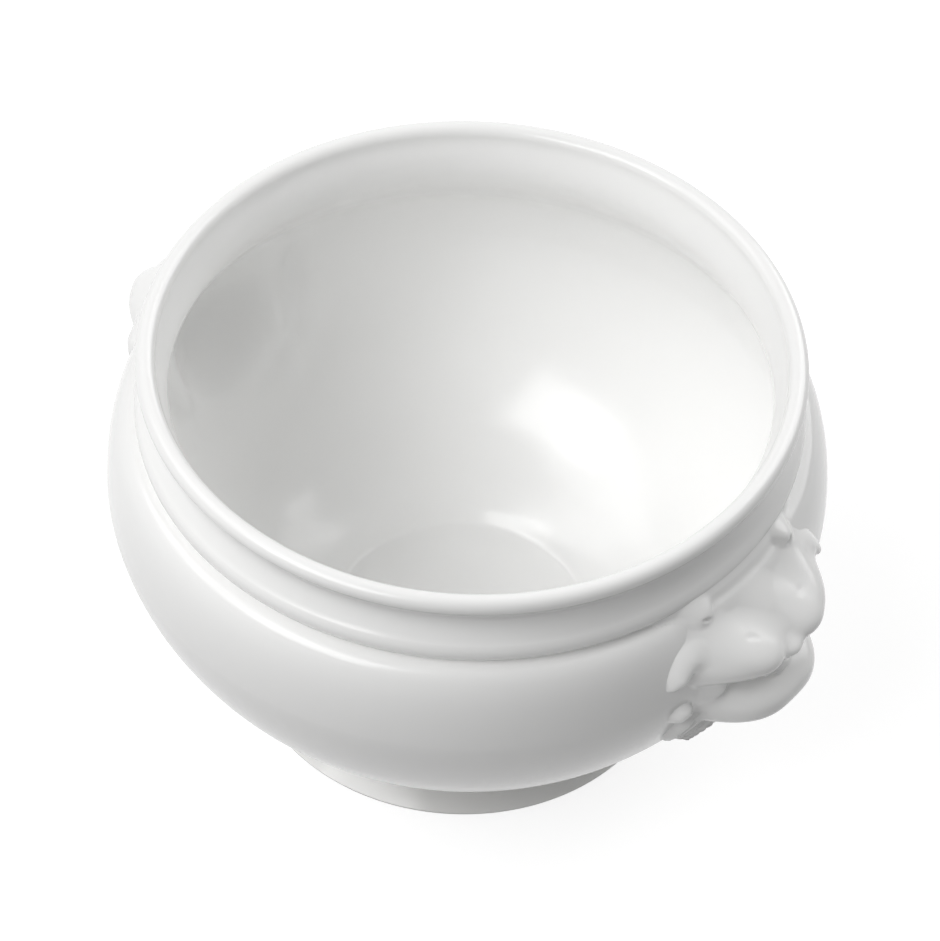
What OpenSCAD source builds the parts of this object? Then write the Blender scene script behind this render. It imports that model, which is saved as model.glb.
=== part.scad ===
// Footed soup bowl in white glazed porcelain, with a rolled rim, a moulded neck ring,
// a round belly, a spreading foot and a hollow lion's head handle on each side.
// The origin is on the standing surface, under the middle of the bowl. X runs through the heads.

/* [Rim and neck] */
// Outer diameter over the rolled rim
rim_d = 120; // [112:0.5:126]
// Thickness of the rolled rim
rim_t = 3.6; // [3:0.1:4.4]
// Outer diameter at the waist between the rim and the neck ring
waist_d = 114.8; // [112:0.2:117.4]
// Height from the neck ring's upper edge to the middle of the rolled rim
waist_h = 8.5; // [6:0.1:11]
// Outer diameter over the neck ring
ring_d = 120.6; // [118:0.2:124]
// Height of the neck ring's round face
ring_h = 5.4; // [4:0.1:7]
// Depth of the groove between the neck ring and the belly
groove_d = 1.1; // [0.6:0.1:1.8]

/* [Belly] */
// Diameter where the belly starts, under the groove
shoulder_d = 120.6; // [116:0.2:124]
// Widest diameter of the belly
belly_d = 131.2; // [126:0.2:140]
// Height from the widest place up to the groove
shoulder_h = 16; // [12:0.2:20]
// Height from the foot's seat up to the widest place
belly_h = 41.1; // [34:0.2:48]
// Thickness of the porcelain wall
wall_t = 4.1; // [3.2:0.1:4.6]

/* [Well] */
// Depth of the well under the belly's inner curve
well_h = 5.3; // [3.5:0.1:6.5]
// Thickness of the well's floor
floor_t = 4.1; // [3.2:0.1:5]
// Thickness of the well's side inside the foot
well_side_t = 4.3; // [3.4:0.1:5]
// Width of the foot's seat under the belly, round the well
foot_seat_w = 3.7; // [3:0.1:4.6]

/* [Foot] */
// Diameter where the foot meets the belly
foot_top_d = 65; // [62:0.5:70]
// Diameter of the foot at the table
foot_d = 80.6; // [74:0.2:88]
// Height of the foot
foot_h = 9.6; // [8:0.1:14]
// Thickness of the foot's spreading wall
foot_t = 4.2; // [3.4:0.1:5]
// Radius of the foot's rounded standing edge
foot_edge_r = 0.9; // [0.7:0.1:1.4]

/* [Lion's heads] */
// Width of the mane
head_w = 48; // [42:0.5:54]
// Height of the head from the beard to the brow
head_h = 44; // [40:0.5:46]
// Height of the head's lowest point above the foot's seat
head_lift = 19.4; // [18:0.2:20.6]
// Reach of the muzzle beyond the widest place of the belly
head_reach = 10; // [8:0.2:13]
// Thickness of the mane's rim where it is stuck to the bowl
head_edge_t = 0.4; // [0.3:0.1:1]
// Height of the tallest locks of the mane
lock_h = 3.8; // [2:0.1:4.4]
// Height of the cushion under the face
cushion_h = 1.6; // [1:0.1:2.4]
// Radius of the hollow behind each head
hollow_r = 18; // [14:0.5:20]
// Depth of that hollow beyond the belly's inner wall
hollow_h = 3.2; // [2:0.1:4]
// Thickness of the wall over the hollow
hollow_t = 3; // [2.4:0.1:3.6]
// Clearance between a head and the wall that it is stuck to
joint_gap = 0.08; // [0.05:0.01:0.2]

/* [Hidden] */
$fn = 96;

white_glaze = [0.95, 0.95, 0.94];
bare_porcelain = [0.90, 0.88, 0.85];

// The curves of the belly are superellipses: 2 is a true ellipse, less is straighter
low_curve_power = 1.58;
high_curve_power = 2.15;
low_steps = 22;
high_steps = 12;
bead_steps = 10;
well_steps = 10;
foot_steps = 10;
edge_steps = 3;

// Heights, stacked from the table up
belly_z = foot_h + belly_h;
groove_z = belly_z + shoulder_h;
ring_top_z = groove_z + ring_h;
rim_z = ring_top_z + waist_h;

rim_bead_r = rim_t / 2;
rim_mid_r = rim_d / 2 - rim_bead_r;
ring_bead_r = ring_h / 2;
ring_mid_r = ring_d / 2 - ring_bead_r;
foot_top_r = foot_top_d / 2;
belly_r = belly_d / 2;
shoulder_r = shoulder_d / 2;
plug_r = foot_top_r - foot_seat_w;
floor_r = plug_r - well_side_t;

// A point on one quarter of a superellipse, from the foot or the groove to the widest place
function arc_point(end_r, end_z, curve, a) = [
    end_r + (belly_r - end_r) * pow(cos(a), 2 / curve),
    belly_z + (end_z - belly_z) * pow(sin(a), 2 / curve)
];

// The same point moved inwards by the wall's thickness, square to the curve
function inner_point(end_r, end_z, curve, a) =
    let(
        here = arc_point(end_r, end_z, curve, a),
        before = arc_point(end_r, end_z, curve, max(a - 1, 0)),
        after = arc_point(end_r, end_z, curve, min(a + 1, 90)),
        along = after - before,
        side = end_z > belly_z ? 1 : -1
    )
    here - wall_t * side * [along[1], -along[0]] / norm(along);

// Angles on the two beads: where the neck ring's starts over the groove, where the
// waist's hollow curve leaves both, and where the rim's ends inside the bowl
ring_start_angle = -60;
bead_angle = 52;
rim_end_angle = 200;
function bead_point(mid_r, mid_z, r, a) = [mid_r + r * cos(a), mid_z + r * sin(a)];

ring_end = bead_point(ring_mid_r, groove_z + ring_bead_r, ring_bead_r, bead_angle);
rim_start = bead_point(rim_mid_r, rim_z, rim_bead_r, -bead_angle);
waist_dip = (ring_end[0] + rim_start[0]) / 2 - waist_d / 2;

belly_low_line = [for (i = [0 : low_steps])
    arc_point(foot_top_r, foot_h, low_curve_power, 90 - 90 * i / low_steps)];
belly_high_line = [for (i = [1 : high_steps])
    arc_point(shoulder_r, groove_z, high_curve_power, 90 * i / high_steps)];
groove_lift_share = 0.25;
groove_point = [shoulder_r - groove_d, groove_z + groove_d * groove_lift_share];
ring_line = [for (i = [1 : bead_steps])
    bead_point(ring_mid_r, groove_z + ring_bead_r, ring_bead_r,
        ring_start_angle + (bead_angle - ring_start_angle) * i / bead_steps)];
waist_line = [for (i = [1 : bead_steps - 1])
    let(k = i / bead_steps)
    (1 - k) * ring_end + k * rim_start - [waist_dip * sin(180 * k), 0]];
rim_line = [for (i = [0 : 2 * bead_steps])
    bead_point(rim_mid_r, rim_z, rim_bead_r,
        -bead_angle + (rim_end_angle + bead_angle) * i / (2 * bead_steps))];
outer_line = concat(belly_low_line, belly_high_line, [groove_point], ring_line, waist_line, rim_line);

// Inside, the neck is one soft curve from the rim down to the belly. The angles are places on
// the belly's two curves: where the neck joins it, and where the well starts
neck_wall_share = 0.74;
neck_end_angle = 68;
well_start_angle = 87;
neck_lean_power = 0.85;
neck_round_power = 1.2;
inner_neck_r = waist_d / 2 - wall_t * neck_wall_share;
rim_end = rim_line[2 * bead_steps];
inner_high = inner_point(shoulder_r, groove_z, high_curve_power, neck_end_angle);
neck_line = [for (i = [1 : bead_steps])
    let(
        k = i / bead_steps,
        straight = (1 - k) * rim_end + k * inner_high,
        chord_r = (rim_end[0] + inner_high[0]) / 2,
        bulge = pow(sin(180 * pow(k, neck_lean_power)), neck_round_power)
    )
    straight - [(chord_r - inner_neck_r) * bulge, 0]];
inner_high_line = [for (i = [1 : high_steps])
    inner_point(shoulder_r, groove_z, high_curve_power, neck_end_angle * (1 - i / high_steps))];
inner_low_line = [for (i = [1 : low_steps])
    inner_point(foot_top_r, foot_h, low_curve_power, well_start_angle * i / low_steps)];

// The well's side is an S curve from the belly down to the flat floor
well_start = inner_low_line[low_steps - 1];
well_floor_z = well_start[1] - well_h;
well_line = [for (i = [1 : well_steps])
    let(k = i / well_steps)
    [well_start[0] + (floor_r - well_start[0]) * k,
        well_start[1] - well_h * (1 - cos(180 * k)) / 2]];

// Under the belly, the well stands in the foot like a plug
plug_z = well_floor_z - floor_t;
plug_edge = floor_t / 4;
under_line = [
    [0, plug_z],
    [plug_r - plug_edge, plug_z],
    [plug_r, plug_z + plug_edge],
    [plug_r, foot_h]
];
bowl_outline = concat(under_line, outer_line, neck_line, inner_high_line, inner_low_line,
    well_line, [[0, well_floor_z]]);

// The hollow behind a head, its middle on the face's widest place
hollow_z = belly_z;
hollow_mid = belly_r - wall_t + hollow_h - hollow_r;

// How far the bowl's outside is from its axis at a height
outside_table = [for (p = concat(belly_low_line, belly_high_line, [groove_point], ring_line, waist_line))
    [p[1], p[0]]];
function outside_r(z) = lookup(z, outside_table);

// Where the wall or the bump over the hollow lies, behind a place on the head
wall_look = ring_h / 6;
function wall_x(t, z) =
    let(r = max(outside_r(z - wall_look), outside_r(z), outside_r(z + wall_look)))
    sqrt(r * r - t * t);
function bump_x(t, z) =
    let(
        r = hollow_r + hollow_t,
        away = r * r - t * t - (z - hollow_z) * (z - hollow_z)
    )
    hollow_mid + (away > 0 ? sqrt(away) : 0);
function seat_x(t, z) = joint_gap + max(wall_x(t, z), bump_x(t, z));

// The head: its sides, its height and its forms are shares of its width, height and reach
head_z = foot_h + head_lift;
head_half = head_w / 2;
top_power = 3;
beard_power = 2.1;
rim_power = 14;
round_steps = 128;
ray_steps = 24;
back_steps = 5;

// Raised forms: place across, place up, height, half width, half height, tilt,
// squareness across, squareness up, softness of the valley round it
form_shares = [
    // Forehead between the ears
    [0, 0.70, -0.10, 0.52, 0.25, 0, 2.4, 2.2, 0.24],
    // Brow ridge over each eye
    [0.36, 0.785, 0.08, 0.24, 0.05, 18, 2, 2, 0.18],
    // Bridge of the nose
    [0, 0.74, 0.14, 0.14, 0.12, 0, 2.2, 2, 0.20],
    // Tip of the nose
    [0, 0.69, 0.48, 0.13, 0.04, 0, 2.2, 2.4, 0.12],
    // Each side of the muzzle, with a furrow between them
    [0.21, 0.59, 0.82, 0.38, 0.12, 0, 1.7, 1.9, 0.06],
    // Cheek
    [0.57, 0.60, 0.16, 0.20, 0.17, 15, 2, 2, 0.18],
    // Lower lip
    [0, 0.38, 0.94, 0.38, 0.10, 0, 2.2, 2.2, 0.10],
    // Chin
    [0, 0.23, 0.82, 0.32, 0.15, 0, 2.2, 2.2, 0.20],
    // Jowl
    [0.46, 0.38, 0.26, 0.18, 0.15, 15, 2, 2, 0.18],
    // Beard
    [0, 0.11, 0.54, 0.26, 0.12, 0, 2.2, 2.2, 0.20],
    // Ear
    [0.62, 0.86, -0.16, 0.17, 0.09, -30, 2.2, 2.2, 0.18]
];

// Sunken forms, in the same order, the height being that of their bottom
dent_shares = [
    // Eye
    [0.42, 0.715, -0.14, 0.16, 0.045, 14, 2, 2, 0.09],
    // Mouth
    [0, 0.48, 0.16, 0.46, 0.062, 0, 2.2, 2, 0.06],
    // Hollow of the ear
    [0.60, 0.884, -0.40, 0.08, 0.03, -10, 2, 2, 0.06]
];

// Small forms, raised again in the eyes and in the open mouth
inset_shares = [
    // Eyeball
    [0.42, 0.71, 0.04, 0.10, 0.03, 14, 2, 2, 0.05],
    // Tongue
    [0, 0.45, 0.62, 0.20, 0.045, 0, 2.4, 2, 0.08]
];

// Leaf-shaped locks of the mane: place of the root across and up, place of the tip across
// and up, half width, height, and how far the lock bends outwards
lock_shares = [
    [0.80, 0.93, 0.94, 0.58, 0.13, 0.79, 0.05],
    [0.84, 0.66, 0.99, 0.40, 0.125, 0.68, 0.05],
    [0.80, 0.52, 0.92, 0.25, 0.125, 0.68, 0.05],
    [0.72, 0.40, 0.80, 0.14, 0.12, 0.68, 0.04],
    [0.58, 0.30, 0.62, 0.06, 0.12, 0.74, 0.03],
    [0.40, 0.24, 0.40, 0, 0.12, 0.79, 0.02],
    [0.14, 0.20, 0.14, -0.01, 0.13, 0.84, 0],
    [0.66, 0.80, 0.84, 0.52, 0.13, 0.95, 0.05],
    [0.66, 0.60, 0.78, 0.34, 0.13, 0.95, 0.05],
    [0.62, 0.44, 0.66, 0.18, 0.13, 1, 0.04],
    [0.46, 0.33, 0.50, 0.10, 0.12, 1, 0.02]
];

fall_share = 0.5;

function form_away(t, z, f, side) =
    let(
        dt = t - side * f[0] * head_half,
        dz = z - head_z - f[1] * head_h,
        a = side * f[5],
        along = abs(dt * cos(a) + dz * sin(a)) / (f[3] * head_half),
        across = abs(dz * cos(a) - dt * sin(a)) / (f[4] * head_h)
    )
    pow(along, f[6]) + pow(across, f[7]);

function form_x(t, z, f, side) =
    belly_r + head_reach * (f[2] - fall_share * form_away(t, z, f, side));
function dent_x(t, z, f, side) =
    belly_r + head_reach * (f[2] + fall_share * form_away(t, z, f, side));

function soft_high(a, b, blend) = (a + b + sqrt((a - b) * (a - b) + blend * blend)) / 2;
function soft_low(a, b, blend) = (a + b - sqrt((a - b) * (a - b) + blend * blend)) / 2;

// Each form is added on one side and then on the other, a form in the middle only once
function raise_one(t, z, x, f, side) = soft_high(x, form_x(t, z, f, side), f[8] * head_reach);
function sink_one(t, z, x, f, side) = soft_low(x, dent_x(t, z, f, side), f[8] * head_reach);
function raise_all(t, z, x, forms, i) = i == len(forms) ? x
    : let(f = forms[i], right = raise_one(t, z, x, f, 1))
    raise_all(t, z, f[0] == 0 ? right : raise_one(t, z, right, f, -1), forms, i + 1);
function sink_all(t, z, x, forms, i) = i == len(forms) ? x
    : let(f = forms[i], right = sink_one(t, z, x, f, 1))
    sink_all(t, z, f[0] == 0 ? right : sink_one(t, z, right, f, -1), forms, i + 1);

// Height of one lock over the wall: round across, full in the middle, tapering to its tip
lock_round_power = 2.2;
lock_leaf_power = 0.6;
lock_end_power = 0.6;
lock_root_share = 0.33;
lock_tip_share = 0.29;
lock_taper_share = 0.3;
function lock_x(t, z, l, side) =
    let(
        root = [l[0] * head_half, l[1] * head_h],
        span = [l[2] * head_half, l[3] * head_h] - root,
        reach = norm(span),
        way = span / reach,
        d = [t * side, z - head_z] - root,
        along = d * way / reach,
        leaf = 1 - pow(2 * along - 1, 2),
        aside = abs(d[1] * way[0] - d[0] * way[1] - l[6] * head_half * leaf),
        taper = 1 + lock_taper_share * (1 - 2 * along) / 2,
        width = leaf > 0 ? l[4] * head_half * taper * pow(leaf, lock_leaf_power) : 0,
        ends = min(along / lock_root_share, (1 - along) / lock_tip_share, 1)
    )
    aside >= width ? 0
        : lock_h * l[5] * (1 - pow(aside / width, lock_round_power)) * pow(ends, lock_end_power);
function mane_x(t, z) = max([for (l = lock_shares) for (side = [1, -1]) lock_x(t, z, l, side)]);

// The face stands on a low cushion that dies away towards the mane's rim
cushion_w_share = 0.98;
cushion_h_share = 0.52;
cushion_power = 2.4;
cushion_round_power = 0.6;
function cushion_x(t, z) =
    let(
        u = abs(t) / (cushion_w_share * head_half),
        v = abs(z - head_z - head_h / 2) / (cushion_h_share * head_h),
        inside = 1 - pow(u, cushion_power) - pow(v, cushion_power)
    )
    inside > 0 ? cushion_h * pow(inside, cushion_round_power) : 0;

// The head's outline at a turn around its middle
function outline_r(a) =
    let(
        curve = sin(a) > 0 ? top_power : beard_power,
        flat = pow(abs(cos(a)) / head_half, curve) + pow(abs(sin(a)) / (head_h / 2), curve)
    )
    pow(flat, -1 / curve);

function head_front(a, s) =
    let(
        t = s * outline_r(a) * cos(a),
        z = head_z + head_h / 2 + s * outline_r(a) * sin(a),
        edge_x = seat_x(t, z) + head_edge_t,
        ground = edge_x + cushion_x(t, z) + mane_x(t, z),
        solid = raise_all(t, z, ground, form_shares, 0),
        face = raise_all(t, z, sink_all(t, z, solid, dent_shares, 0), inset_shares, 0),
        edge = pow(s, rim_power)
    )
    [max(edge_x, face * (1 - edge) + edge_x * edge), t, z];

function head_back(a, s) =
    let(
        t = s * outline_r(a) * cos(a),
        z = head_z + head_h / 2 + s * outline_r(a) * sin(a)
    )
    [seat_x(t, z), t, z];

// Rings of points around a middle one, front then back, closed along the outline
module lion_head() {
    front = concat([head_front(0, 0)],
        [for (i = [1 : ray_steps]) for (j = [0 : round_steps - 1])
            head_front(360 * j / round_steps, i / ray_steps)]);
    back = concat([head_back(0, 0)],
        [for (i = [1 : back_steps]) for (j = [0 : round_steps - 1])
            head_back(360 * j / round_steps, i / back_steps)]);
    n = len(front);
    function ring_at(i, j) = 1 + (i - 1) * round_steps + j % round_steps;
    front_fan = [for (j = [0 : round_steps - 1]) [0, ring_at(1, j + 1), ring_at(1, j)]];
    front_rings = [for (i = [1 : ray_steps - 1]) for (j = [0 : round_steps - 1]) each [
        [ring_at(i, j), ring_at(i, j + 1), ring_at(i + 1, j + 1)],
        [ring_at(i, j), ring_at(i + 1, j + 1), ring_at(i + 1, j)]]];
    back_fan = [for (j = [0 : round_steps - 1]) [n, n + ring_at(1, j), n + ring_at(1, j + 1)]];
    back_rings = [for (i = [1 : back_steps - 1]) for (j = [0 : round_steps - 1]) each [
        [n + ring_at(i, j), n + ring_at(i + 1, j + 1), n + ring_at(i, j + 1)],
        [n + ring_at(i, j), n + ring_at(i + 1, j), n + ring_at(i + 1, j + 1)]]];
    rim = [for (j = [0 : round_steps - 1]) each [
        [ring_at(ray_steps, j), ring_at(ray_steps, j + 1), n + ring_at(back_steps, j + 1)],
        [ring_at(ray_steps, j), n + ring_at(back_steps, j + 1), n + ring_at(back_steps, j)]]];
    color(white_glaze)
        polyhedron(points = concat(front, back),
            faces = concat(front_fan, front_rings, back_fan, back_rings, rim), convexity = 6);
}

module hollow_ball(extra) {
    for (side = [-1, 1])
        translate([side * hollow_mid, 0, hollow_z])
            sphere(r = hollow_r + extra);
}

module bowl_body() {
    color(white_glaze)
        difference() {
            union() {
                rotate_extrude()
                    polygon(bowl_outline);
                difference() {
                    hollow_ball(hollow_t);
                    translate([0, 0, foot_h])
                        cylinder(r = belly_r - wall_t / 2, h = groove_z);
                }
            }
            hollow_ball(0);
        }
}

module foot_ring() {
    edge_mid_r = foot_d / 2 - foot_edge_r;
    edge_in_r = foot_d / 2 - foot_t;
    top_in_r = plug_r + joint_gap;
    outer = [for (i = [0 : foot_steps])
        let(k = i / foot_steps)
        [edge_mid_r + foot_edge_r - (edge_mid_r + foot_edge_r - foot_top_r) * sin(90 * k),
            foot_edge_r + (foot_h - foot_edge_r) * k]];
    foot_outline = concat(
        [for (i = [0 : edge_steps])
            bead_point(edge_mid_r, foot_edge_r, foot_edge_r, 90 * (i / edge_steps - 1))],
        [for (i = [1 : foot_steps]) outer[i]],
        [[top_in_r, foot_h], [top_in_r, plug_z + plug_edge],
            [edge_in_r, foot_edge_r], [edge_in_r + foot_edge_r / 2, 0]]
    );
    color(bare_porcelain)
        rotate_extrude()
            polygon(foot_outline);
}

module lion_head_right() {
    lion_head();
}

module lion_head_left() {
    rotate([0, 0, 180])
        lion_head();
}

bowl_body();
foot_ring();
lion_head_right();
lion_head_left();
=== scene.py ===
"""A footed soup bowl in white glazed porcelain, with a lion's head on each side."""

import math

import bpy
import numpy as np
from bpy.props import FloatProperty, FloatVectorProperty, IntProperty, PointerProperty
from mathutils import Matrix, Vector


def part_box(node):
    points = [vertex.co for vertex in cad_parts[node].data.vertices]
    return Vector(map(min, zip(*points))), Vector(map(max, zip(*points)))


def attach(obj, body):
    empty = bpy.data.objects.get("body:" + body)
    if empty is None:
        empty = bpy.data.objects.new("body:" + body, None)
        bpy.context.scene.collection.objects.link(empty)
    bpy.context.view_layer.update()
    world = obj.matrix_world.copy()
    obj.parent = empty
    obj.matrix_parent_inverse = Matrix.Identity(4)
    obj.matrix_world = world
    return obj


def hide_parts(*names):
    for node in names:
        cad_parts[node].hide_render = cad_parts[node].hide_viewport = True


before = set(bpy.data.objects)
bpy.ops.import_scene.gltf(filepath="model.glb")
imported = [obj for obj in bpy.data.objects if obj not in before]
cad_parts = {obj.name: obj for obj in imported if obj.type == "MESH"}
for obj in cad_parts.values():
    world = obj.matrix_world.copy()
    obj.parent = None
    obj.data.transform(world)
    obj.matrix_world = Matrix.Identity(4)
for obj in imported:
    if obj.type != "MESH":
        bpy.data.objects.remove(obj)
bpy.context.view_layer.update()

bl_info = {
    "name": "Lion's Head Soup Bowl",
    "version": (1, 0, 0),
    "blender": (4, 5, 0),
    "location": "3D View > Sidebar > Soup Bowl",
    "description": "Models a footed porcelain soup bowl with two lion's heads",
    "category": "Add Mesh",
}

MM = 0.001
# The belly's radius is read across the heads' direction, where no hollow widens it
BELLY_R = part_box("bowl_body")[1].y


def length(name, about, value):
    """A size in metres that a user would change."""
    return FloatProperty(name=name, description=about, default=value, min=0.0, unit="LENGTH",
                         subtype="DISTANCE")


class BowlSizes(bpy.types.PropertyGroup):
    """Sizes of the bowl's wall, rim and well"""
    rim_r: length("Rim Radius", "Radius over the rolled rim", 60 * MM)
    rim_t: length("Rim Thickness", "Thickness of the rolled rim", 3.6 * MM)
    waist_r: length("Waist Radius", "Radius at the waist under the rim", 57.4 * MM)
    waist_h: length("Waist Height", "Height from the neck ring to the rolled rim", 8.5 * MM)
    ring_r: length("Neck Ring Radius", "Radius over the neck ring", 60.3 * MM)
    ring_h: length("Neck Ring Height", "Height of the neck ring's round face", 5.4 * MM)
    groove_d: length("Groove Depth", "Depth of the groove under the neck ring", 1.1 * MM)
    shoulder_r: length("Shoulder Radius", "Radius where the belly starts", 60.3 * MM)
    shoulder_h: length("Shoulder Height", "Height from the widest place to the groove", 16 * MM)
    belly_h: length("Belly Height", "Height from the foot to the widest place", 41.1 * MM)
    wall_t: length("Wall Thickness", "Thickness of the porcelain wall", 4.1 * MM)
    floor_r: length("Floor Radius", "Radius of the flat floor in the well", 24.5 * MM)
    well_h: length("Well Depth", "Depth of the well under the belly's inner curve", 5.3 * MM)
    floor_t: length("Floor Thickness", "Thickness of the well's floor", 4.1 * MM)
    plug_r: length("Plug Radius", "Radius of the well's outside in the foot", 28.8 * MM)
    spin_steps: IntProperty(name="Spin Steps", description="Steps of the spin round the axis",
                            default=288, min=48)


class FootSizes(bpy.types.PropertyGroup):
    """Sizes of the spreading foot"""
    top_r: length("Top Radius", "Radius where the foot meets the belly", 32.5 * MM)
    foot_r: length("Foot Radius", "Radius at the table", 40.3 * MM)
    foot_h: length("Foot Height", "Height of the foot", 9.6 * MM)
    foot_t: length("Foot Thickness", "Thickness of the foot's spreading wall", 4.2 * MM)
    edge_r: length("Edge Radius", "Radius of the rounded standing edge", 0.9 * MM)
    recess_h: length("Recess Height", "Height of the foot's inside at the seat", 5.36 * MM)
    recess_dip: length("Recess Dip", "Depth of the hollow curve inside the foot", 0.35 * MM)


class HeadSizes(bpy.types.PropertyGroup):
    """Sizes of the lion's heads"""
    width: length("Mane Width", "Width of the mane", 48 * MM)
    height: length("Height", "Height from the beard to the brow", 44 * MM)
    lift: length("Lift", "Height of the beard above the foot's seat", 19.4 * MM)
    reach: length("Reach", "Reach of the muzzle beyond the belly", 9.9 * MM)
    strand_h: length("Strand Height", "Height of the fine strands on each lock", 1.3 * MM)
    hollow_r: length("Hollow Radius", "Radius of the hollow behind each head", 18 * MM)
    hollow_h: length("Hollow Depth", "Depth of that hollow beyond the inner wall", 3.2 * MM)


class GlazeColours(bpy.types.PropertyGroup):
    """Colours of the porcelain and its glaze"""
    glaze: FloatVectorProperty(name="Glaze", description="Colour of the glazed porcelain", subtype="COLOR",
                               size=3, default=(0.885, 0.885, 0.88), min=0.0, max=1.0)
    bare: FloatVectorProperty(name="Bare Porcelain", description="Colour of the bare standing edge",
                              subtype="COLOR", size=3, default=(0.78, 0.755, 0.72), min=0.0, max=1.0)


SETTINGS = (("soup_bowl", BowlSizes), ("soup_foot", FootSizes), ("soup_head", HeadSizes),
            ("soup_glaze", GlazeColours))


# Profiles, as (radius, height) points in metres

def arc_point(end_r, end_z, belly_z, curve, turn):
    """A point on a quarter of a superellipse, from the foot or the groove to the widest place."""
    across, along = max(math.cos(turn), 0.0), max(math.sin(turn), 0.0)
    return Vector((end_r + (BELLY_R - end_r) * across ** (2 / curve),
                   belly_z + (end_z - belly_z) * along ** (2 / curve)))


def inner_point(end_r, end_z, belly_z, curve, turn, wall):
    """The same point moved inwards by the wall, square to the curve."""
    step = math.radians(1)
    before = arc_point(end_r, end_z, belly_z, curve, max(turn - step, 0))
    after = arc_point(end_r, end_z, belly_z, curve, min(turn + step, math.pi / 2))
    along = (after - before).normalized()
    side = 1 if end_z > belly_z else -1
    return arc_point(end_r, end_z, belly_z, curve, turn) - wall * side * Vector((along.y, -along.x))


def bead_point(mid_r, mid_z, r, turn):
    """A point on a round bead."""
    return Vector((mid_r + r * math.cos(turn), mid_z + r * math.sin(turn)))


def share(steps, first=0):
    """Even shares from 0 to 1."""
    return [i / steps for i in range(first, steps + 1)]


# Powers of the superellipses below and above the widest place
LOW_CURVE = 1.58
HIGH_CURVE = 2.15
# Turns where the round beads of the neck ring and the rim start and end
BEAD_TURN = math.radians(52)
RING_START_TURN = math.radians(-60)
RIM_END_TURN = math.radians(200)
# Inside the neck: where it meets the belly, its wall as a share of the belly's, and its curve
NECK_END_TURN = math.radians(68)
NECK_WALL = 0.74
NECK_SKEW = 0.85
NECK_SQUARE = 1.2
# The well: the turn that its depth is measured from, where its wall starts, and its slope at the floor
WELL_DEPTH_TURN = math.radians(87)
WELL_WALL_TURN = math.radians(79)
WELL_END_SLOPE = 1.0
# Steps along each part of the profile
LOW_STEPS = 56
HIGH_STEPS = 20
RING_STEPS = 16
WAIST_STEPS = 16
RIM_STEPS = 24
NECK_STEPS = 22
INNER_LOW_STEPS = 44
WELL_STEPS = 24
# Points of the floor, as shares of its radius, closer together near the well's wall
FLOOR_SHARES = (0.985, 0.97, 0.95, 0.9, 0.66, 0.33)
# How many points at the rim and in the well are softened together, and how often
LIP_POINTS = 4
LIP_PASSES = 5
WELL_POINTS = 6
WELL_PASSES = 2
# The foot: steps of its edge, rise and recess, and the clearance round the well
EDGE_STEPS = 6
RISE_STEPS = 22
RECESS_STEPS = 10
SEAT_GAP = 0.08 * MM


def bowl_heights(s, foot_h):
    """Heights of the widest place, the groove and the rim's middle."""
    belly_z = foot_h + s.belly_h
    groove_z = belly_z + s.shoulder_h
    return belly_z, groove_z, groove_z + s.ring_h + s.waist_h


def outside_line(s, foot):
    """The bowl's outside from the foot to the waist's end, and the rolled rim."""
    belly_z, groove_z, rim_z = bowl_heights(s, foot.foot_h)
    quarter = math.pi / 2
    low = [arc_point(foot.top_r, foot.foot_h, belly_z, LOW_CURVE, quarter * (1 - k))
           for k in share(LOW_STEPS)]
    high = [arc_point(s.shoulder_r, groove_z, belly_z, HIGH_CURVE, quarter * k)
            for k in share(HIGH_STEPS, 1)]
    ring_bead = s.ring_h / 2
    ring_mid = s.ring_r - ring_bead
    ring_turns = [RING_START_TURN + (BEAD_TURN - RING_START_TURN) * k for k in share(RING_STEPS)]
    ring = [bead_point(ring_mid, groove_z + ring_bead, ring_bead, a) for a in ring_turns]
    groove = [Vector((s.shoulder_r - s.groove_d, groove_z + s.groove_d / 4))]
    rim_bead = s.rim_t / 2
    rim = [bead_point(s.rim_r - rim_bead, rim_z, rim_bead, -BEAD_TURN + (RIM_END_TURN + BEAD_TURN) * k)
           for k in share(RIM_STEPS)]
    dip = (ring[-1].x + rim[0].x) / 2 - s.waist_r
    waist = [ring[-1].lerp(rim[0], k) - Vector((dip * math.sin(math.pi * k), 0))
             for k in share(WAIST_STEPS)[1:-1]]
    return low + high + groove + ring + waist, rim


def inside_line(s, foot, rim_end):
    """The bowl's inside from the rim down to the well's floor."""
    belly_z, groove_z, _ = bowl_heights(s, foot.foot_h)
    high_end = inner_point(s.shoulder_r, groove_z, belly_z, HIGH_CURVE, NECK_END_TURN, s.wall_t)
    neck_r = s.waist_r - s.wall_t * NECK_WALL
    dip = (rim_end.x + high_end.x) / 2 - neck_r
    neck = [rim_end.lerp(high_end, k) - Vector((dip * math.sin(math.pi * k ** NECK_SKEW) ** NECK_SQUARE, 0))
            for k in share(NECK_STEPS, 1)]
    high = [inner_point(s.shoulder_r, groove_z, belly_z, HIGH_CURVE, NECK_END_TURN * (1 - k), s.wall_t)
            for k in share(HIGH_STEPS, 1)]
    low = [inner_point(foot.top_r, foot.foot_h, belly_z, LOW_CURVE, WELL_WALL_TURN * k, s.wall_t)
           for k in share(INNER_LOW_STEPS, 1)]
    deep = inner_point(foot.top_r, foot.foot_h, belly_z, LOW_CURVE, WELL_DEPTH_TURN, s.wall_t)
    floor_z = deep.y - s.well_h
    start = low[-1]
    fall = (start - low[-2]).normalized()
    run, drop = start.x - s.floor_r, start.y - floor_z
    first, last = run * fall.y / fall.x, WELL_END_SLOPE * run
    well = [Vector((start.x - run * k, start.y - drop * (3 - 2 * k) * k * k - first * k * (1 - k) ** 2
                    + last * k * k * (1 - k))) for k in share(WELL_STEPS, 1)]
    return neck + high + low + well, floor_z


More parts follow.
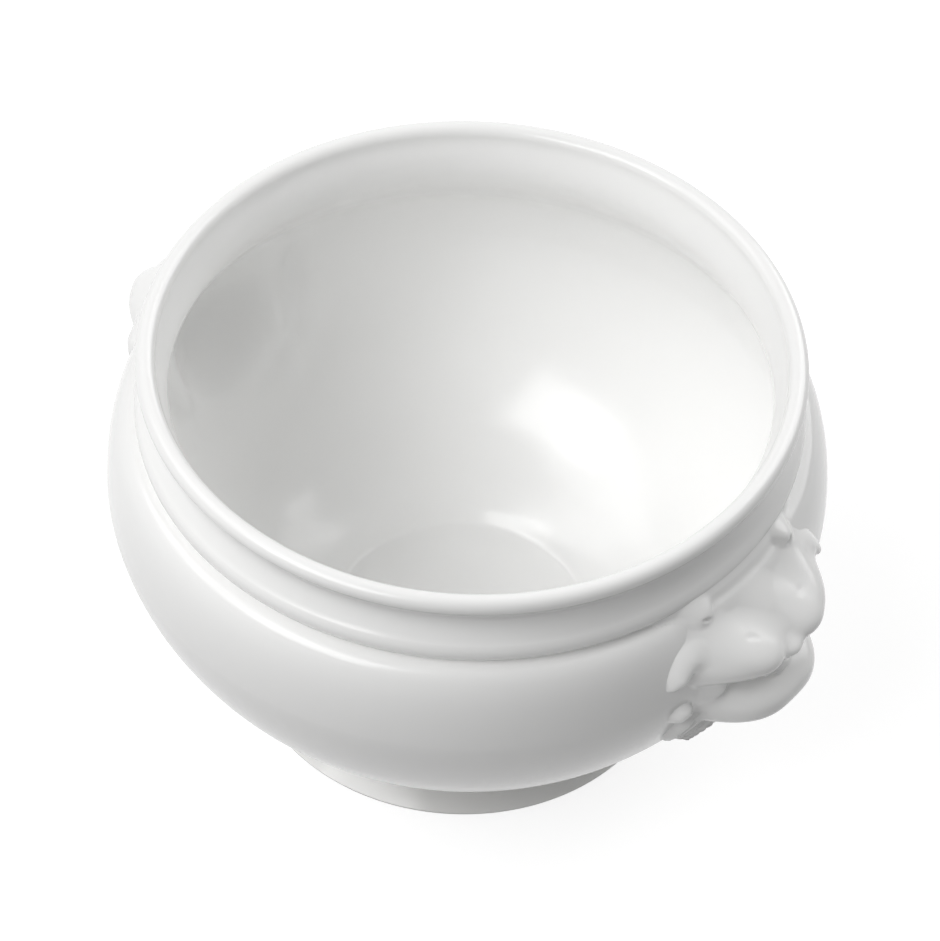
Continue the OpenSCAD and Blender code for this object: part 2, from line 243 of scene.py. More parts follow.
def eased(line, passes):
    """A profile whose corners are softened, its ends staying where they are."""
    for _ in range(passes):
        middle = [(before + here * 2 + after) / 4 for before, here, after in zip(line, line[1:], line[2:])]
        line = [line[0], *middle, line[-1]]
    return line


# Modelling, as by hand

# Points that are closer than this are merged
MERGE = MM / 200
# Edges that turn more than this stay sharp
SHARP_TURN = math.radians(50)


def deselect_all():
    """Leaves edit mode and selects nothing."""
    if bpy.context.object and bpy.context.object.mode != "OBJECT":
        bpy.ops.object.mode_set(mode="OBJECT")
    bpy.ops.object.select_all(action="DESELECT")


def spun_piece(name, profile, steps, closed):
    """Draws a profile with extruded points and spins it round the bowl's axis."""
    deselect_all()
    first = Vector((profile[0].x, 0, profile[0].y))
    bpy.ops.mesh.primitive_plane_add(size=MM, location=first)
    piece = bpy.context.object
    piece.name = piece.data.name = name
    bpy.ops.object.transform_apply(location=True, rotation=False, scale=False)
    bpy.ops.object.mode_set(mode="EDIT")
    bpy.ops.mesh.select_all(action="SELECT")
    bpy.ops.mesh.merge(type="CENTER")
    here = first
    for point in profile[1:]:
        place = Vector((point.x, 0, point.y))
        bpy.ops.mesh.extrude_vertices_move(TRANSFORM_OT_translate={"value": place - here})
        here = place
    if closed:
        bpy.ops.mesh.select_all(action="DESELECT")
        bpy.ops.object.mode_set(mode="OBJECT")
        piece.data.vertices[0].select = True
        piece.data.vertices[len(profile) - 1].select = True
        bpy.ops.object.mode_set(mode="EDIT")
        bpy.ops.mesh.edge_face_add()
    bpy.ops.mesh.select_all(action="SELECT")
    bpy.ops.mesh.spin(steps=steps, angle=2 * math.pi, center=(0, 0, 0), axis=(0, 0, 1))
    bpy.ops.mesh.select_all(action="SELECT")
    bpy.ops.mesh.remove_doubles(threshold=MERGE)
    bpy.ops.mesh.normals_make_consistent(inside=False)
    bpy.ops.object.mode_set(mode="OBJECT")
    bpy.ops.object.shade_smooth_by_angle(angle=SHARP_TURN)
    return piece


def places(piece):
    """The piece's points as an array."""
    flat = np.empty(len(piece.data.vertices) * 3)
    piece.data.vertices.foreach_get("co", flat)
    return flat.reshape(-1, 3)


def set_places(piece, points):
    """Moves the piece's points."""
    piece.data.vertices.foreach_set("co", points.ravel())
    piece.data.update()


# The lion's head, as a height over the bowl's wall at a place across and a height

class Form:
    """One raised or sunken form of the head, its sizes being shares of the head's."""

    def __init__(self, across, up, height, half_w, half_h, tilt=0, square_w=2.0, square_h=2.0, blend=1.2):
        self.across, self.up, self.height = across, up, height
        self.half_w, self.half_h, self.tilt = half_w, half_h, math.radians(tilt)
        self.square_w, self.square_h, self.blend = square_w, square_h, blend * MM

    def away(self, head, t, z, side):
        """How far a place is from the form's middle, where 1 is its edge."""
        dt = t - side * self.across * head.half
        dz = z - head.z - self.up * head.h
        turn = side * self.tilt
        along = np.abs(dt * math.cos(turn) + dz * math.sin(turn)) / (self.half_w * head.half)
        rise = np.abs(dz * math.cos(turn) - dt * math.sin(turn)) / (self.half_h * head.h)
        return along ** self.square_w + rise ** self.square_h

    def sides(self):
        """Both sides, or one for a form in the middle."""
        return (1, -1) if self.across else (1,)


RAISED = {
    "forehead": Form(0, 0.62, 0.00, 0.74, 0.27, square_w=2.6, square_h=2.2, blend=1.5),
    "bridge": Form(0, 0.70, 0.34, 0.24, 0.11, square_w=2.2, blend=2.4),
    "nose": Form(0, 0.610, 0.86, 0.17, 0.055, square_w=1.9, square_h=2.2, blend=1.8),
    "muzzle": Form(0.24, 0.638, 0.84, 0.32, 0.104, tilt=6, blend=2.0),
    "cheek": Form(0.46, 0.655, 0.40, 0.24, 0.13, tilt=24, blend=2.0),
    "jaw": Form(0, 0.360, 0.92, 0.47, 0.102, square_w=3.0, square_h=2.6, blend=1.2),
    "beard": Form(0, 0.19, 0.05, 0.34, 0.11, square_w=2.4, square_h=2.4, blend=1.2),
    "jowl": Form(0.50, 0.50, 0.14, 0.15, 0.13, tilt=10, blend=1.8),
    "ear": Form(0.50, 0.855, -0.32, 0.16, 0.058, tilt=-16, square_w=2.2, square_h=2.2, blend=1.3),
}
SUNKEN = {
    "mouth": Form(0, 0.512, 0.22, 0.43, 0.039, square_w=2.8, blend=0.7),
    "eye": Form(0.31, 0.750, 0.41, 0.13, 0.020, tilt=10, blend=1.3),
    "nostril": Form(0.075, 0.592, 0.70, 0.035, 0.010, tilt=-20, blend=0.6),
    "philtrum": Form(0, 0.545, 0.62, 0.022, 0.040, blend=0.6),
    "ear_pit": Form(0.51, 0.850, -0.38, 0.080, 0.014, tilt=34, blend=1.0),
}
INSET = {
    "fang": Form(0.25, 0.545, 0.66, 0.040, 0.042, blend=0.4),
    "tongue": Form(0, 0.468, 0.64, 0.21, 0.038, square_w=2.4, blend=0.9),
}
# How far a form falls, or rises where it is sunken, from its middle to its edge, as a share of the reach
FALL = 0.5
# How deep the sheet lies under the wall where it has no relief
SINK = 0.30 * MM
# Locks of the mane. Each has its root across and up, its tip across and up, its half width,
# its height in millimetres, its bend and its number of fine strands
LOCKS = (
    (0.60, 0.79, 0.91, 0.59, 0.09, 2.4, 0.03, 1),
    (0.70, 0.45, 0.85, 0.37, 0.07, 1.9, 0.02, 1),
    (0.58, 0.36, 0.73, 0.14, 0.10, 1.5, 0.03, 2),
    (0.34, 0.28, 0.54, -0.02, 0.14, 2.3, 0.05, 5),
    (0.17, 0.28, 0.26, -0.02, 0.12, 2.3, 0.02, 4),
    (0.00, 0.28, 0.00, -0.02, 0.11, 2.3, 0.0, 3),
)
# A lock's shape: how pointed and how wide it is, how round its back is, and how it rises at its ends
LOCK_POINT = 1.2
LOCK_WIDE = 1.15
LOCK_NARROWING = 0.3
LOCK_ROUND = 2.2
ROOT_RISE = 3
TIP_RISE = 3.5
RISE_POWER = 0.6
# The swell of the whole face over the wall: its height, and its size and place in shares of the head
SWELL_H = MM
SWELL_W = 0.92
SWELL_MIDDLE = 0.42
SWELL_TALL = 0.42
SWELL_SQUARE = 2.4
SWELL_POWER = 1.6
# Where the relief fades at the top of the head and at the sheet's edge
TOP_FADE, TOP_FADE_W = 0.885, 0.065
EDGE_FADE, EDGE_FADE_W = 0.93, 0.07
# How square the sheet's outline is above and below the middle
TOP_SQUARE = 3.0
LOW_SQUARE = 2.1


def soft_high(a, b, blend):
    """The higher of two surfaces, with a soft valley between them."""
    near = np.maximum(1 - np.abs(a - b) / (2 * blend), 0)
    return np.maximum(a, b) + near ** 2 * blend / 2


def soft_low(a, b, blend):
    """The lower of two surfaces, with a soft edge between them."""
    near = np.maximum(1 - np.abs(a - b) / (2 * blend), 0)
    return np.minimum(a, b) - near ** 2 * blend / 2


def smooth(k):
    """A soft step from 0 to 1."""
    k = np.clip(k, 0, 1)
    return k * k * (3 - 2 * k)


class LionHead:
    """The relief of one head, over the outside of the bowl."""

    def __init__(self, bowl, foot, head):
        line, _ = outside_line(bowl, foot)
        self.wall_z = np.array([p.y for p in line])
        self.wall_r = np.array([p.x for p in line])
        self.half = head.width / 2
        self.h = head.height
        self.z = foot.foot_h + head.lift
        self.reach = head.reach
        self.strand_h = head.strand_h

    def wall(self, t, z):
        """Where the bowl's wall lies behind a place on the head."""
        r = np.interp(z, self.wall_z, self.wall_r)
        return np.sqrt(np.maximum(r * r - t * t, 0))

    def raise_forms(self, t, z, x, forms):
        """Adds raised forms, each on both sides."""
        for form in forms.values():
            for side in form.sides():
                level = BELLY_R + self.reach * (form.height - FALL * form.away(self, t, z, side))
                x = soft_high(x, level, form.blend)
        return x

    def sink_forms(self, t, z, x, forms):
        """Cuts sunken forms, each on both sides."""
        for form in forms.values():
            for side in form.sides():
                level = BELLY_R + self.reach * (form.height + FALL * form.away(self, t, z, side))
                x = soft_low(x, level, form.blend)
        return x

    def lock(self, t, z, lock, side):
        """Height of one lock of hair, with its fine strands."""
        root_u, root_v, tip_u, tip_v, half_w, height, bend, strands = lock
        root = Vector((root_u * self.half, root_v * self.h))
        way = Vector((tip_u * self.half, tip_v * self.h)) - root
        reach, way = way.length, way.normalized()
        dx, dz = t * side - root.x, z - self.z - root.y
        along = (dx * way.x + dz * way.y) / reach
        across = dz * way.x - dx * way.y - bend * self.half * (1 - (2 * along - 1) ** 2)
        lens = np.sqrt(np.clip(4 * along * (1 - along), 0, 1)) ** LOCK_POINT
        width = half_w * self.half * lens * (LOCK_WIDE - LOCK_NARROWING * along)
        width = np.maximum(width, MM / 1000)
        aside = across / width
        inside = (along > 0) & (along < 1) & (np.abs(aside) < 1)
        crown = np.where(inside, 1 - np.abs(aside) ** LOCK_ROUND, 0)
        ends = np.clip(np.minimum(along * ROOT_RISE, (1 - along) * TIP_RISE), 0, 1) ** RISE_POWER
        lines = self.strand_h * crown * np.cos(aside * math.pi * strands) / 2 if strands > 1 else 0
        return np.where(inside, height * MM * crown * ends - lines, 0)

    def front(self, t, z):
        """The head's front at a place."""
        wall = self.wall(t, z)
        u, v = t / self.half, (z - self.z) / self.h
        swell = np.clip(1 - (np.abs(u) / SWELL_W) ** SWELL_SQUARE
                        - (np.abs(v - SWELL_MIDDLE) / SWELL_TALL) ** SWELL_SQUARE, 0, 1)
        x = wall + SWELL_H * swell ** SWELL_POWER
        locks = np.zeros_like(x)
        for lock in LOCKS:
            for side in ((1, -1) if lock[0] else (1,)):
                locks = np.maximum(locks, self.lock(t, z, lock, side))
        x = self.raise_forms(t, z, x + locks, RAISED)
        x = self.sink_forms(t, z, x, SUNKEN)
        x = self.raise_forms(t, z, x, INSET)
        relief = (x - wall) * (1 - smooth((v - TOP_FADE) / TOP_FADE_W))
        return wall + relief - SINK * (1 - smooth(relief / (4 * SINK)))

    def outline(self, turn):
        """Radius of the head's outline at a turn round its middle."""
        curve = np.where(np.sin(turn) > 0, TOP_SQUARE, LOW_SQUARE)
        flat = (np.abs(np.cos(turn)) / self.half) ** curve + (np.abs(np.sin(turn)) / (self.h / 2)) ** curve
        return flat ** (-1 / curve)


# Materials. The glaze's waves and tint and the bare edge's grain are noise in the object's own space

GLAZE_ROUGHNESS = 0.04
BARE_ROUGHNESS = 0.75
WAVE_SCALE, WAVE_DETAIL, WAVE_STRENGTH = 38, 2, 0.1
TINT_SCALE, TINT_DETAIL, TINT_DARK = 14, 3, 0.985
TINT_START, TINT_END = 0.3, 0.7
GRAIN_SCALE = 900
GRAIN_H = 0.4 * MM
BARE_H, GLAZED_H = 0.5 * MM, 0.9 * MM


def new_material(name, roughness, colour):
    """A material with its shader, ready for its pattern."""
    material = bpy.data.materials.new(name)
    material.use_nodes = True
    shader = material.node_tree.nodes["Principled BSDF"]
    shader.inputs["Base Color"].default_value = (*colour, 1)
    shader.inputs["Roughness"].default_value = roughness
    return material, shader


def glaze_waves(material, shader):
    """The slight unevenness of a fired glaze, as a bump. Returns the coordinates for more patterns."""
    nodes, links = material.node_tree.nodes, material.node_tree.links
    place = nodes.new("ShaderNodeTexCoord")
    wave = nodes.new("ShaderNodeTexNoise")
    wave.inputs["Scale"].default_value = WAVE_SCALE
    wave.inputs["Detail"].default_value = WAVE_DETAIL
    bump = nodes.new("ShaderNodeBump")
    bump.inputs["Strength"].default_value = WAVE_STRENGTH
    bump.inputs["Distance"].default_value = MM
    links.new(place.outputs["Object"], wave.inputs["Vector"])
    links.new(wave.outputs["Fac"], bump.inputs["Height"])
    links.new(bump.outputs["Normal"], shader.inputs["Normal"])
    return place


def white_glaze(colours):
    """Clear gloss glaze over white porcelain."""
    material, shader = new_material("white_glaze", GLAZE_ROUGHNESS, colours.glaze)
    place = glaze_waves(material, shader)
    nodes, links = material.node_tree.nodes, material.node_tree.links
    tint = nodes.new("ShaderNodeTexNoise")
    tint.inputs["Scale"].default_value = TINT_SCALE
    tint.inputs["Detail"].default_value = TINT_DETAIL
    ramp = nodes.new("ShaderNodeValToRGB")
    low, high = ramp.color_ramp.elements
    low.position, high.position = TINT_START, TINT_END
    low.color = (*[TINT_DARK * c for c in colours.glaze], 1)
    high.color = (*colours.glaze, 1)
    links.new(place.outputs["Object"], tint.inputs["Vector"])
    links.new(tint.outputs["Fac"], ramp.inputs["Fac"])
    links.new(ramp.outputs["Color"], shader.inputs["Base Color"])
    return material


def foot_glaze(colours):
    """The same glaze, wiped off the standing edge, which stays bare and slightly rough."""
    material, shader = new_material("foot_glaze", GLAZE_ROUGHNESS, colours.glaze)
    place = glaze_waves(material, shader)
    nodes, links = material.node_tree.nodes, material.node_tree.links
    split = nodes.new("ShaderNodeSeparateXYZ")
    grain = nodes.new("ShaderNodeTexNoise")
    grain.inputs["Scale"].default_value = GRAIN_SCALE
    edge = nodes.new("ShaderNodeMath")
    edge.operation = "MULTIPLY_ADD"
    edge.inputs[1].default_value = GRAIN_H
    wiped = nodes.new("ShaderNodeMapRange")
    wiped.inputs["From Min"].default_value = BARE_H
    wiped.inputs["From Max"].default_value = GLAZED_H
    wiped.inputs["To Min"].default_value = 1
    wiped.inputs["To Max"].default_value = 0
    colour = nodes.new("ShaderNodeMixRGB")
    colour.inputs["Color1"].default_value = (*colours.glaze, 1)
    colour.inputs["Color2"].default_value = (*colours.bare, 1)
    rough = nodes.new("ShaderNodeMapRange")
    rough.inputs["To Min"].default_value = GLAZE_ROUGHNESS
    rough.inputs["To Max"].default_value = BARE_ROUGHNESS
    links.new(place.outputs["Object"], split.inputs["Vector"])
    links.new(place.outputs["Object"], grain.inputs["Vector"])
    links.new(grain.outputs["Fac"], edge.inputs[0])
    links.new(split.outputs["Z"], edge.inputs[2])
    links.new(edge.outputs["Value"], wiped.inputs["Value"])
    links.new(wiped.outputs["Result"], colour.inputs["Fac"])
    links.new(wiped.outputs["Result"], rough.inputs["Value"])
    links.new(colour.outputs["Color"], shader.inputs["Base Color"])
    links.new(rough.outputs["Result"], shader.inputs["Roughness"])
    return material


def dress(piece, material, slot, *nodes):
    """Gives a piece its finish, hangs it under the root and hides the parts that it stands for."""
    piece.data.materials.clear()
    piece.data.materials.append(material)
    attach(piece, "root")
    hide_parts(*nodes)


def material_named(name, maker):
    """A material that is made once."""
    return bpy.data.materials.get(name) or maker(bpy.context.scene.soup_glaze)


# The bowl

# The hollow behind each head: the height that it stays above, in heights of the foot,
# the softness of its edge, and how far the pressed wall lies back
HOLLOW_START = 1.5
HOLLOW_BLEND = 0.8 * MM
HOLLOW_BACK = 0.2 * MM
# The pressed wall's reach over the belly, the softness of that limit, and its thinnest place
PRESS_REACH = 2.6 * MM
PRESS_BLEND = MM
PRESS_WALL = 0.9 * MM
# How far from the widest place the hollow fades, all round and upwards
FADE_R = 27 * MM
FADE_UP = 14 * MM
FADE_W = 5 * MM
# The print of the head on the inner wall, in millimetres: height, places and half sizes
MUZZLE_PRINT, MUZZLE_DOWN, MUZZLE_HALF_W, MUZZLE_HALF_H = 5.2, 4, 6.8, 6.0
CHEEK_PRINT, CHEEK_ASIDE, CHEEK_DOWN, CHEEK_HALF_W, CHEEK_HALF_H = -1.5, 13.5, 9, 2.6, 8
MANE_PRINT, MANE_R, MANE_HALF_W, MANE_HALF_H, MANE_STRETCH = 1.0, 20.5, 2.4, 12, 1.05
MANE_LOCKS, MANE_LOCK_DEPTH = 7, 0.5


class OBJECT_OT_soup_bowl(bpy.types.Operator):
    """Draws the bowl's profile, spins it and presses the hollows behind the heads"""
    bl_idname = "object.soup_bowl"
    bl_label = "Bowl"

    def execute(self, context):
        s, foot, head = context.scene.soup_bowl, context.scene.soup_foot, context.scene.soup_head
        outside, rim = outside_line(s, foot)
        inside, floor_z = inside_line(s, foot, rim[-1])
        plug_z = floor_z - s.floor_t
        edge = s.floor_t / 4
        under = [Vector((0, plug_z)), Vector((s.plug_r - edge, plug_z)), Vector((s.plug_r, plug_z + edge)),
                 Vector((s.plug_r, foot.foot_h))]
        floor = [Vector((s.floor_r * k, floor_z)) for k in FLOOR_SHARES]
        lip = eased(rim[-LIP_POINTS:] + inside[:-WELL_POINTS], LIP_PASSES)
        well = eased(inside[-WELL_POINTS:] + floor, WELL_PASSES)
        profile = under + outside + rim[1:-LIP_POINTS] + lip + well + [Vector((0, floor_z))]
        bowl = spun_piece("porcelain_bowl", profile, s.spin_steps, closed=False)
        self.press_hollows(bowl, s, foot, head)
        dress(bowl, material_named("white_glaze", white_glaze), "white_glaze", "bowl_body")
        return {"FINISHED"}

    def press_hollows(self, bowl, s, foot, head):
        """Pushes the wall out behind each head, as the cast head's own hollow."""
        points = places(bowl)
        belly_z = foot.foot_h + s.belly_h
        r = np.hypot(points[:, 0], points[:, 1])
        line, _ = outside_line(s, foot)
        outer = np.interp(points[:, 2], [p.y for p in line], [p.x for p in line])
        x, t, dz = np.abs(points[:, 0]), points[:, 1], points[:, 2] - belly_z
        behind = (x > head.hollow_r) & (np.abs(t) < head.width / 2)
        behind &= points[:, 2] > foot.foot_h * HOLLOW_START
        inner = r < outer - s.wall_t / 2
        start = np.where(inner, x, x - s.wall_t)
        mid = BELLY_R - s.wall_t + head.hollow_h - head.hollow_r
        ball = mid + np.sqrt(np.maximum(head.hollow_r ** 2 - t ** 2 - dz ** 2, 0))
        pressed = soft_high(start, ball, HOLLOW_BLEND) - HOLLOW_BACK + self.face_print(t, dz)
        pressed = soft_low(pressed, BELLY_R + PRESS_REACH, PRESS_BLEND)
        wanted = np.where(inner, pressed, np.maximum(x, pressed + PRESS_WALL))
        fade = smooth((FADE_R - np.hypot(t, dz)) / FADE_W) * smooth((FADE_UP - dz) / FADE_W)
        points[:, 0] = np.sign(points[:, 0]) * np.where(behind, x + (wanted - x) * fade, x)
        set_places(bowl, points)

    def face_print(self, t, dz):
        """The soft print of the muzzle, the cheeks and the mane on the inner wall."""
        t, dz = t / MM, dz / MM
        muzzle = MUZZLE_PRINT * np.exp(-(t / MUZZLE_HALF_W) ** 2 - ((dz + MUZZLE_DOWN) / MUZZLE_HALF_H) ** 2)
        cheeks = CHEEK_PRINT * np.exp(-((np.abs(t) - CHEEK_ASIDE) / CHEEK_HALF_W) ** 2
                                      - ((dz + CHEEK_DOWN) / CHEEK_HALF_H) ** 2)
        out = np.hypot(t, dz * MANE_STRETCH)
        locks = 1 + MANE_LOCK_DEPTH * np.cos(MANE_LOCKS * np.arctan2(dz, np.abs(t)))
        mane = MANE_PRINT * locks * np.exp(-((out - MANE_R) / MANE_HALF_W) ** 2
                                           - ((dz + MUZZLE_DOWN) / MANE_HALF_H) ** 4)
        return (muzzle + cheeks + mane) * MM


class OBJECT_OT_soup_foot(bpy.types.Operator):
    """Draws the foot's profile and spins it"""
    bl_idname = "object.soup_foot"
    bl_label = "Foot"

    def execute(self, context):
        s, foot = context.scene.soup_bowl, context.scene.soup_foot
        mid = foot.foot_r - foot.edge_r
        edge = [bead_point(mid, foot.edge_r, foot.edge_r, math.pi / 2 * (k - 1)) for k in share(EDGE_STEPS)]
        rise = [Vector((foot.foot_r - (foot.foot_r - foot.top_r) * math.sin(math.pi / 2 * k),
                        foot.edge_r + (foot.foot_h - foot.edge_r) * k)) for k in share(RISE_STEPS, 1)]
        seat = Vector((s.plug_r + SEAT_GAP, foot.foot_h))
        inner_low = Vector((foot.foot_r - foot.foot_t, foot.edge_r))
        inner_top = Vector((seat.x, foot.recess_h))
        recess = [inner_top.lerp(inner_low, k) - Vector((0, foot.recess_dip * math.sin(math.pi * k)))
                  for k in share(RECESS_STEPS)]
        profile = edge + rise + [seat] + recess + [inner_low + Vector((foot.edge_r / 2, -foot.edge_r))]
        ring = spun_piece("porcelain_foot", profile, s.spin_steps, closed=True)
        dress(ring, material_named("foot_glaze", foot_glaze), "foot_glaze", "foot_ring")
        return {"FINISHED"}


class OBJECT_OT_soup_lion_heads(bpy.types.Operator):
    """Sculpts the lion's head over the wall and copies it to the other side"""
    bl_idname = "object.soup_lion_heads"
    bl_label = "Lion's Heads"

    # Rays and rings of the sheet, and its size as a share of the head's outline
    turns = 320
    rings = 110
    grow = 1.03

    def execute(self, context):
        scene = context.scene
        lion = LionHead(scene.soup_bowl, scene.soup_foot, scene.soup_head)
        right = self.sculpt(lion)
        left = right.copy()
        left.data = right.data.copy()
        context.collection.objects.link(left)
        left.name = left.data.name = "lion_mask_left"
        left.data.transform(Matrix.Rotation(math.pi, 4, "Z"))
        glaze = material_named("white_glaze", white_glaze)
        dress(right, glaze, "white_glaze", "lion_head_right")
        dress(left, glaze, "white_glaze", "lion_head_left")
        return {"FINISHED"}

    def sculpt(self, lion):
        """Adds a disc of rings and rays, and gives each point its place on the relief."""
        deselect_all()
        turn = np.repeat(np.arange(self.turns)[None] * 2 * math.pi / self.turns, self.rings, 0)
        out = np.repeat(np.linspace(1 / self.rings, 1, self.rings)[:, None], self.turns, 1)
        radius = out * lion.outline(turn) * self.grow
        t = np.concatenate([[0], (radius * np.cos(turn)).ravel()])
        z = np.concatenate([[0], (radius * np.sin(turn)).ravel()]) + lion.z + lion.h / 2
        edge = smooth((np.concatenate([[0], out.ravel()]) - EDGE_FADE) / EDGE_FADE_W)
        wall = lion.wall(t, z)
        front = wall + (lion.front(t, z) - wall) * (1 - edge) - SINK * edge
        n = self.turns

        def place(i, j):
            """Number of the point on ring i and ray j."""
            return 1 + i * n + j % n

        faces = [(0, place(0, j), place(0, j + 1)) for j in range(n)]
        faces += [(place(i, j), place(i + 1, j), place(i + 1, j + 1), place(i, j + 1))
                  for i in range(self.rings - 1) for j in range(n)]
        mesh = bpy.data.meshes.new("lion_mask_right")
        mesh.from_pydata(np.stack([front, t, z], -1).tolist(), [], faces)
        mesh.update()
        mesh.shade_smooth()
        piece = bpy.data.objects.new("lion_mask_right", mesh)
        bpy.context.collection.objects.link(piece)
        return piece


# The stage

# The photograph's camera: its direction from the bowl, its roll, distance, aim and lens
CAMERA_TURN = math.radians(36.5)
CAMERA_LIFT = math.radians(48.3)
CAMERA_ROLL = math.radians(2.6)
CAMERA_AWAY = 0.895
AIM_Z = 0.035
AIM_UP = 0.0105
AIM_RIGHT = 0.00099
PHOTO_FOCUS_PX = 4840
PHOTO_HEIGHT_PX = 941
SENSOR_MM = 36
CLIP_START = 0.01
# The table: size, height, finish, and its glow near the bowl and far from it
TABLE_SIZE = 6
TABLE_Z = -0.05 * MM
TABLE_GREY = (0.35, 0.35, 0.35)
TABLE_ROUGHNESS = 0.9
NEAR_AWAY, NEAR_GLOW = 0.2, 0.8
FAR_AWAY, FAR_GLOW = 0.9, 1.0
# The lamps' distance and the height that they look at, and the room's level of light
LAMP_AWAY = 1.2
LAMP_AIM_Z = 0.045
ROOM_LIGHT = 0.22


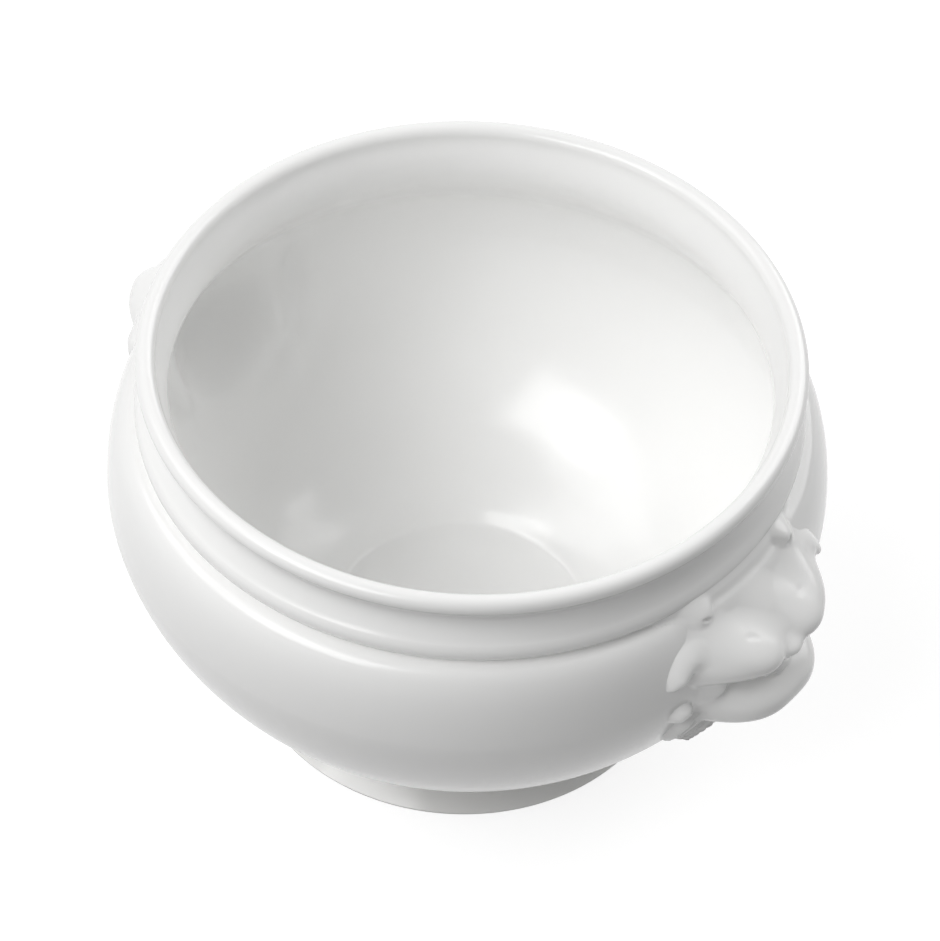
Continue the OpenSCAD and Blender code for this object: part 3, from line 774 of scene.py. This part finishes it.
class SCENE_OT_soup_stage(bpy.types.Operator):
    """Adds the camera, the white table, the soft lamps and the white surroundings"""
    bl_idname = "scene.soup_stage"
    bl_label = "Stage"

    def execute(self, context):
        right, up, back = self.camera(context)
        self.floor()
        self.lamps(right, up, back)
        self.surroundings(context)
        return {"FINISHED"}

    def camera(self, context):
        """The photograph's camera: a long lens, high and to the right of the heads' line."""
        turn, lift, roll = CAMERA_TURN, CAMERA_LIFT, CAMERA_ROLL
        back = Vector((math.sin(turn) * math.cos(lift), -math.cos(turn) * math.cos(lift), math.sin(lift)))
        right = Vector((math.cos(turn), math.sin(turn), 0))
        up = back.cross(right)
        rolled_right = right * math.cos(roll) + up * math.sin(roll)
        rolled_up = up * math.cos(roll) - right * math.sin(roll)
        middle = Vector((0, 0, AIM_Z))
        place = middle + back * CAMERA_AWAY
        target = middle + rolled_up * AIM_UP + rolled_right * AIM_RIGHT
        view_z = (place - target).normalized()
        view_x = (rolled_right - view_z * rolled_right.dot(view_z)).normalized()
        view_y = view_z.cross(view_x)
        deselect_all()
        bpy.ops.object.camera_add()
        camera = context.object
        camera.name = camera.data.name = "photo_camera"
        camera.data.sensor_fit = "VERTICAL"
        camera.data.sensor_width = camera.data.sensor_height = SENSOR_MM
        camera.data.lens = PHOTO_FOCUS_PX / PHOTO_HEIGHT_PX * SENSOR_MM
        camera.data.clip_start = CLIP_START
        axes = Matrix((view_x, view_y, view_z)).transposed()
        camera.matrix_world = Matrix.Translation(place) @ axes.to_4x4()
        context.scene.camera = camera
        return right, up, back

    def seen(self, nodes, links):
        """A value of 1 for what the camera sees, straight or in the glaze, and 0 for other light."""
        ray = nodes.new("ShaderNodeLightPath")
        value = ray.outputs["Is Camera Ray"]
        for name in ("Is Glossy Ray", "Is Transmission Ray"):
            either = nodes.new("ShaderNodeMath")
            either.operation = "MAXIMUM"
            links.new(value, either.inputs[0])
            links.new(ray.outputs[name], either.inputs[1])
            value = either.outputs["Value"]
        return value

    def floor(self):
        """A table that shows white and keeps the bowl's shadow."""
        deselect_all()
        bpy.ops.mesh.primitive_plane_add(size=TABLE_SIZE, location=(0, 0, TABLE_Z))
        floor = bpy.context.object
        floor.name = floor.data.name = "white_table"
        material, shader = new_material("white_table", TABLE_ROUGHNESS, TABLE_GREY)
        shader.inputs["Specular IOR Level"].default_value = 0
        nodes, links = material.node_tree.nodes, material.node_tree.links
        place = nodes.new("ShaderNodeTexCoord")
        away = nodes.new("ShaderNodeVectorMath")
        away.operation = "LENGTH"
        spread = nodes.new("ShaderNodeMapRange")
        spread.inputs["From Min"].default_value = NEAR_AWAY
        spread.inputs["From Max"].default_value = FAR_AWAY
        spread.inputs["To Min"].default_value = NEAR_GLOW
        spread.inputs["To Max"].default_value = FAR_GLOW
        glow = nodes.new("ShaderNodeMath")
        glow.operation = "MULTIPLY"
        links.new(place.outputs["Object"], away.inputs[0])
        links.new(away.outputs["Value"], spread.inputs["Value"])
        links.new(spread.outputs["Result"], glow.inputs[1])
        links.new(self.seen(nodes, links), glow.inputs[0])
        shader.inputs["Emission Color"].default_value = (1, 1, 1, 1)
        links.new(glow.outputs["Value"], shader.inputs["Emission Strength"])
        floor.data.materials.append(material)

    def lamp(self, name, way, wide, tall, watts):
        """A soft lamp that looks at the bowl from a direction."""
        middle = Vector((0, 0, LAMP_AIM_Z))
        bpy.ops.object.light_add(type="AREA", location=middle + way.normalized() * LAMP_AWAY)
        lamp = bpy.context.object
        lamp.name = lamp.data.name = name
        lamp.data.shape = "RECTANGLE"
        lamp.data.size, lamp.data.size_y = wide, tall
        lamp.data.energy = watts
        lamp.rotation_euler = way.to_track_quat("Z", "Y").to_euler()

    def lamps(self, right, up, back):
        """A key lamp at the camera's left, and wide soft ones at the left and behind."""
        deselect_all()
        key_way = right * -0.51 + up * 0.12 + back * 0.85
        self.lamp("key_lamp", key_way, wide=0.75, tall=0.6, watts=6.3)
        self.lamp("side_lamp", Vector((-0.55, -0.34, 0.77)), wide=0.9, tall=0.9, watts=5.0)
        self.lamp("back_lamp", Vector((0.12, 0.81, 0.57)), wide=0.9, tall=0.9, watts=6.9)

    def surroundings(self, context):
        """White for the camera and for reflections, and a plain level of light for the rest."""
        world = bpy.data.worlds.new("white_room")
        context.scene.world = world
        world.use_nodes = True
        nodes, links = world.node_tree.nodes, world.node_tree.links
        level = nodes.new("ShaderNodeMapRange")
        level.inputs["To Min"].default_value = ROOM_LIGHT
        level.inputs["To Max"].default_value = 1.0
        links.new(self.seen(nodes, links), level.inputs["Value"])
        links.new(level.outputs["Result"], nodes["Background"].inputs["Strength"])
        nodes["Background"].inputs["Color"].default_value = (1, 1, 1, 1)
        context.scene.view_settings.view_transform = "Standard"


class VIEW3D_PT_soup_bowl(bpy.types.Panel):
    """Lists the bowl's sizes, colours and pieces"""
    bl_idname = "VIEW3D_PT_soup_bowl"
    bl_label = "Soup Bowl"
    bl_space_type = "VIEW_3D"
    bl_region_type = "UI"
    bl_category = "Soup Bowl"

    def draw(self, context):
        for name, group in SETTINGS:
            box = self.layout.box()
            for key in group.__annotations__:
                box.prop(getattr(context.scene, name), key)
        for operator in OPERATORS:
            self.layout.operator(operator.bl_idname)


OPERATORS = (OBJECT_OT_soup_bowl, OBJECT_OT_soup_foot, OBJECT_OT_soup_lion_heads, SCENE_OT_soup_stage)


def register():
    """Registers the settings, the operators and the panel."""
    for name, group in SETTINGS:
        bpy.utils.register_class(group)
        setattr(bpy.types.Scene, name, PointerProperty(type=group))
    for cls in (*OPERATORS, VIEW3D_PT_soup_bowl):
        bpy.utils.register_class(cls)


def unregister():
    """Takes them out again."""
    for cls in reversed((*OPERATORS, VIEW3D_PT_soup_bowl)):
        bpy.utils.unregister_class(cls)
    for name, group in reversed(SETTINGS):
        delattr(bpy.types.Scene, name)
        bpy.utils.unregister_class(group)


def main():
    """Builds every piece and the stage."""
    register()
    bpy.ops.object.soup_bowl()
    bpy.ops.object.soup_foot()
    bpy.ops.object.soup_lion_heads()
    bpy.ops.scene.soup_stage()


if __name__ == "__main__":
    main()
